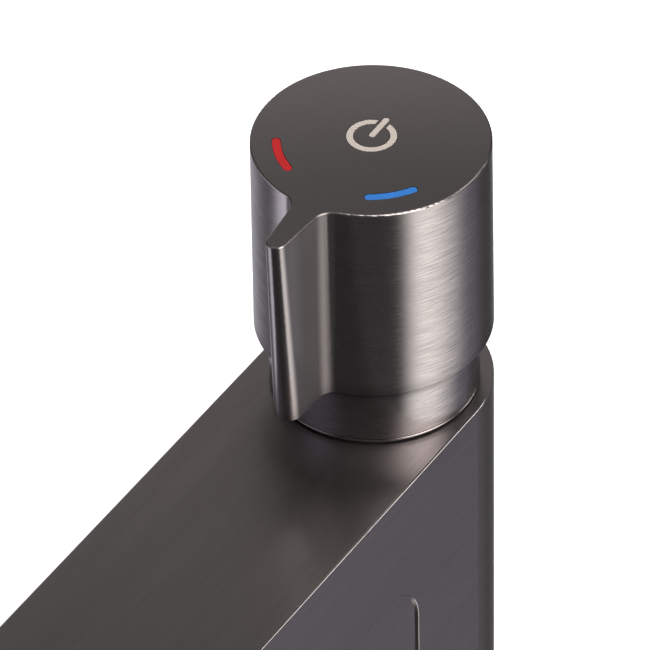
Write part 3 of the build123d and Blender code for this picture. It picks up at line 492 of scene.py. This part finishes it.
# Return spring: wound from round steel wire with closed ends. It stands on the stem's shoulder and lifts the
# rod's head, and in the tap it shortens by the stroke when the knob is pressed; here the wound spring rides with
# the stem at its full length.
spring_low, spring_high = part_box("return_spring")
wire_radius = 0.0006
wire_resolution = 4
coil_radius = (spring_high.x - spring_low.x) / 2 - wire_radius
free_turns = 7
closed_turns = 1
points_per_turn = 24
spring_height = spring_high.z - spring_low.z
closed_rise = 2 * wire_radius * closed_turns
open_rise = spring_height - 2 * wire_radius - 2 * closed_rise
wire = bpy.data.curves.new("return_spring_wire", "CURVE")
wire.dimensions = "3D"
wire.bevel_depth = wire_radius
wire.bevel_resolution = wire_resolution
wire.use_fill_caps = True
coil = wire.splines.new("POLY")
coil.points.add((free_turns + 2 * closed_turns) * points_per_turn)
for step, point in enumerate(coil.points):
    turn = step / points_per_turn
    opened = min(max(turn - closed_turns, 0), free_turns)
    closed = turn - opened
    rise = wire_radius + closed * closed_rise / closed_turns + opened * open_rise / free_turns
    angle = 2 * math.pi * turn
    point.co = (coil_radius * math.cos(angle), knob_axis_y + coil_radius * math.sin(angle),
                spring_low.z + rise, 1)
spring = bpy.data.objects.new("wound_spring", wire)
bpy.context.scene.collection.objects.link(spring)
spring.select_set(True)
bpy.context.view_layer.objects.active = spring
bpy.ops.object.convert(target="MESH")
spring = bpy.context.object
bpy.ops.object.shade_smooth()
spring.data.materials.append(bright_steel)
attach(spring, "stem")
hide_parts("return_spring")
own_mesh(spring)
bpy.ops.object.select_all(action="DESELECT")

# Studio floor: a wide round sheet just under the seal, pale and evenly lit. It is hidden from
# reflections, so the metal mirrors the light tent all round.
floor_radius = 3.0
floor_sides = 96
floor_drop = 0.0002
floor_colour = (0.86, 0.86, 0.86, 1.0)
floor_glow = 0.62
bpy.ops.mesh.primitive_circle_add(vertices=floor_sides, radius=floor_radius, fill_type="NGON",
                                  location=(0, 0, -floor_drop))
floor = bpy.context.object
floor.name = "studio_floor"
floor.visible_glossy = False
floor_material = bpy.data.materials.new("pale_floor")
floor_material.use_nodes = True
floor_shader = floor_material.node_tree.nodes["Principled BSDF"]
floor_shader.inputs["Base Color"].default_value = floor_colour
floor_shader.inputs["Roughness"].default_value = 1.0
floor_shader.inputs["Specular IOR Level"].default_value = 0.0
floor_shader.inputs["Emission Color"].default_value = (1, 1, 1, 1)
floor_shader.inputs["Emission Strength"].default_value = floor_glow
floor.data.materials.append(floor_material)

# Light tent: a dim shell with nine soft boxes, for a picture in plain colours. Azimuths run from the
# front towards the right and elevations from the deck upwards, in degrees. Each box brightens
# between its first two angles and fades between its last two.
warm = (1.0, 0.963, 0.914)
amber = (1.0, 0.93, 0.88)
lilac = (1.0, 0.930, 1.20)
cool = (1.0, 0.955, 1.08)
shell_glow = 0.09
everywhere = (-181, -180, 180, 181)
left_low = (-91, -90, -4, 10)
soft_boxes = {
    "low_key": {"glow": 2.60, "tint": warm, "azimuths": (54, 80, 84, 137), "elevations": (-91, -90, -32, -12)},
    "low_side": {"glow": 0.21, "tint": lilac, "azimuths": (96, 128, 140, 160), "elevations": (-80, -60, -4, 10)},
    "low_fill": {"glow": 0.58, "tint": cool, "azimuths": (-178, -150, -140, -66), "elevations": left_low},
    "low_strip": {"glow": 1.7, "tint": cool, "azimuths": (-78, -60, -44, -22), "elevations": left_low},
    "upper_key": {"glow": 7.0, "tint": amber, "azimuths": (50, 78, 94, 122), "elevations": (-2, 14, 60, 84)},
    "rim": {"glow": 5.0, "tint": warm, "azimuths": (124, 132, 146, 160), "elevations": (14, 20, 28, 34)},
    "zenith": {"glow": 0.4, "tint": warm, "azimuths": everywhere, "elevations": (58, 74, 90, 91)},
    "upper_fill": {"glow": 0.45, "tint": lilac, "azimuths": (-62, -38, -24, -4), "elevations": (0, 16, 90, 91)},
    "overhead": {"glow": 0.03, "tint": amber, "azimuths": everywhere, "elevations": (16, 40, 90, 91)},
}


def soft_edges(tree, angle, limits):
    """1 between the two middle angles, easing to 0 at the outer two."""
    rising = spread(tree, angle, limits[:2], 0.0, 1.0)
    fading = spread(tree, angle, limits[2:], 1.0, 0.0)
    return number_step(tree, "MULTIPLY", rising, fading)


bpy.context.scene.view_settings.view_transform = "Standard"
bpy.context.scene.view_settings.look = "None"
world = bpy.data.worlds.new("light_tent")
bpy.context.scene.world = world
world.use_nodes = True
tent = world.node_tree
tent.nodes.clear()
direction = add_node(tent, "ShaderNodeTexCoord").outputs["Generated"]
course = add_node(tent, "ShaderNodeSeparateXYZ", {0: direction}).outputs
frontward = number_step(tent, "MULTIPLY", course["Y"], -1.0)
azimuth = number_step(tent, "DEGREES", number_step(tent, "ARCTAN2", course["X"], frontward))
elevation = number_step(tent, "DEGREES", number_step(tent, "ARCSINE", course["Z"]))
glow = add_node(tent, "ShaderNodeCombineXYZ", {0: shell_glow, 1: shell_glow, 2: shell_glow}).outputs[0]
for box in soft_boxes.values():
    sideways = soft_edges(tent, azimuth, box["azimuths"])
    upright = soft_edges(tent, elevation, box["elevations"])
    lit = number_step(tent, "MULTIPLY", sideways, upright)
    colour = tuple(box["glow"] * channel for channel in box["tint"])
    glow = vector_step(tent, "ADD", glow, scaled(tent, colour, lit))
background = add_node(tent, "ShaderNodeBackground", {"Color": glow, "Strength": 1.0})
add_node(tent, "ShaderNodeOutputWorld", {"Surface": background.outputs[0]})

# Near box: a small soft box behind the tap on the left, turned to the knob. It stands so near that
# the flat tops are graded from front to back.
near_box_glow = 0.35
near_box_side = 0.30
near_box_place = (-0.213, 0.231, 0.244)
near_box_data = bpy.data.lights.new("near_box", "AREA")
near_box_data.shape = "SQUARE"
near_box_data.size = near_box_side
near_box_data.color = amber
near_box_data.energy = near_box_glow * math.pi * near_box_side ** 2
near_box = bpy.data.objects.new("near_box", near_box_data)
bpy.context.scene.collection.objects.link(near_box)
near_box.location = near_box_place
away_from_knob = near_box.location - Vector((0, knob_axis_y, collar_high.z))
near_box.rotation_euler = away_from_knob.to_track_quat("Z", "Y").to_euler()
near_box.visible_camera = False

# Camera: a long lens from the front right, looking down on the knob and the root of the spout.
view_azimuth = math.radians(32.589)
view_tilt = math.radians(49.678)
view_roll = math.radians(-1.264)
camera_place = (0.5014, -0.80254, 0.94522)
camera_data = bpy.data.cameras.new("camera")
camera_data.lens = 360.0
camera_data.sensor_width = 36.0
camera_data.clip_start = 0.05
camera_data.clip_end = 50.0
camera = bpy.data.objects.new("camera", camera_data)
bpy.context.scene.collection.objects.link(camera)
camera_turn = Matrix.Rotation(view_azimuth, 4, "Z") @ Matrix.Rotation(view_tilt, 4, "X")
camera_turn = camera_turn @ Matrix.Rotation(view_roll, 4, "Z")
camera.matrix_world = Matrix.Translation(camera_place) @ camera_turn
bpy.context.scene.camera = camera
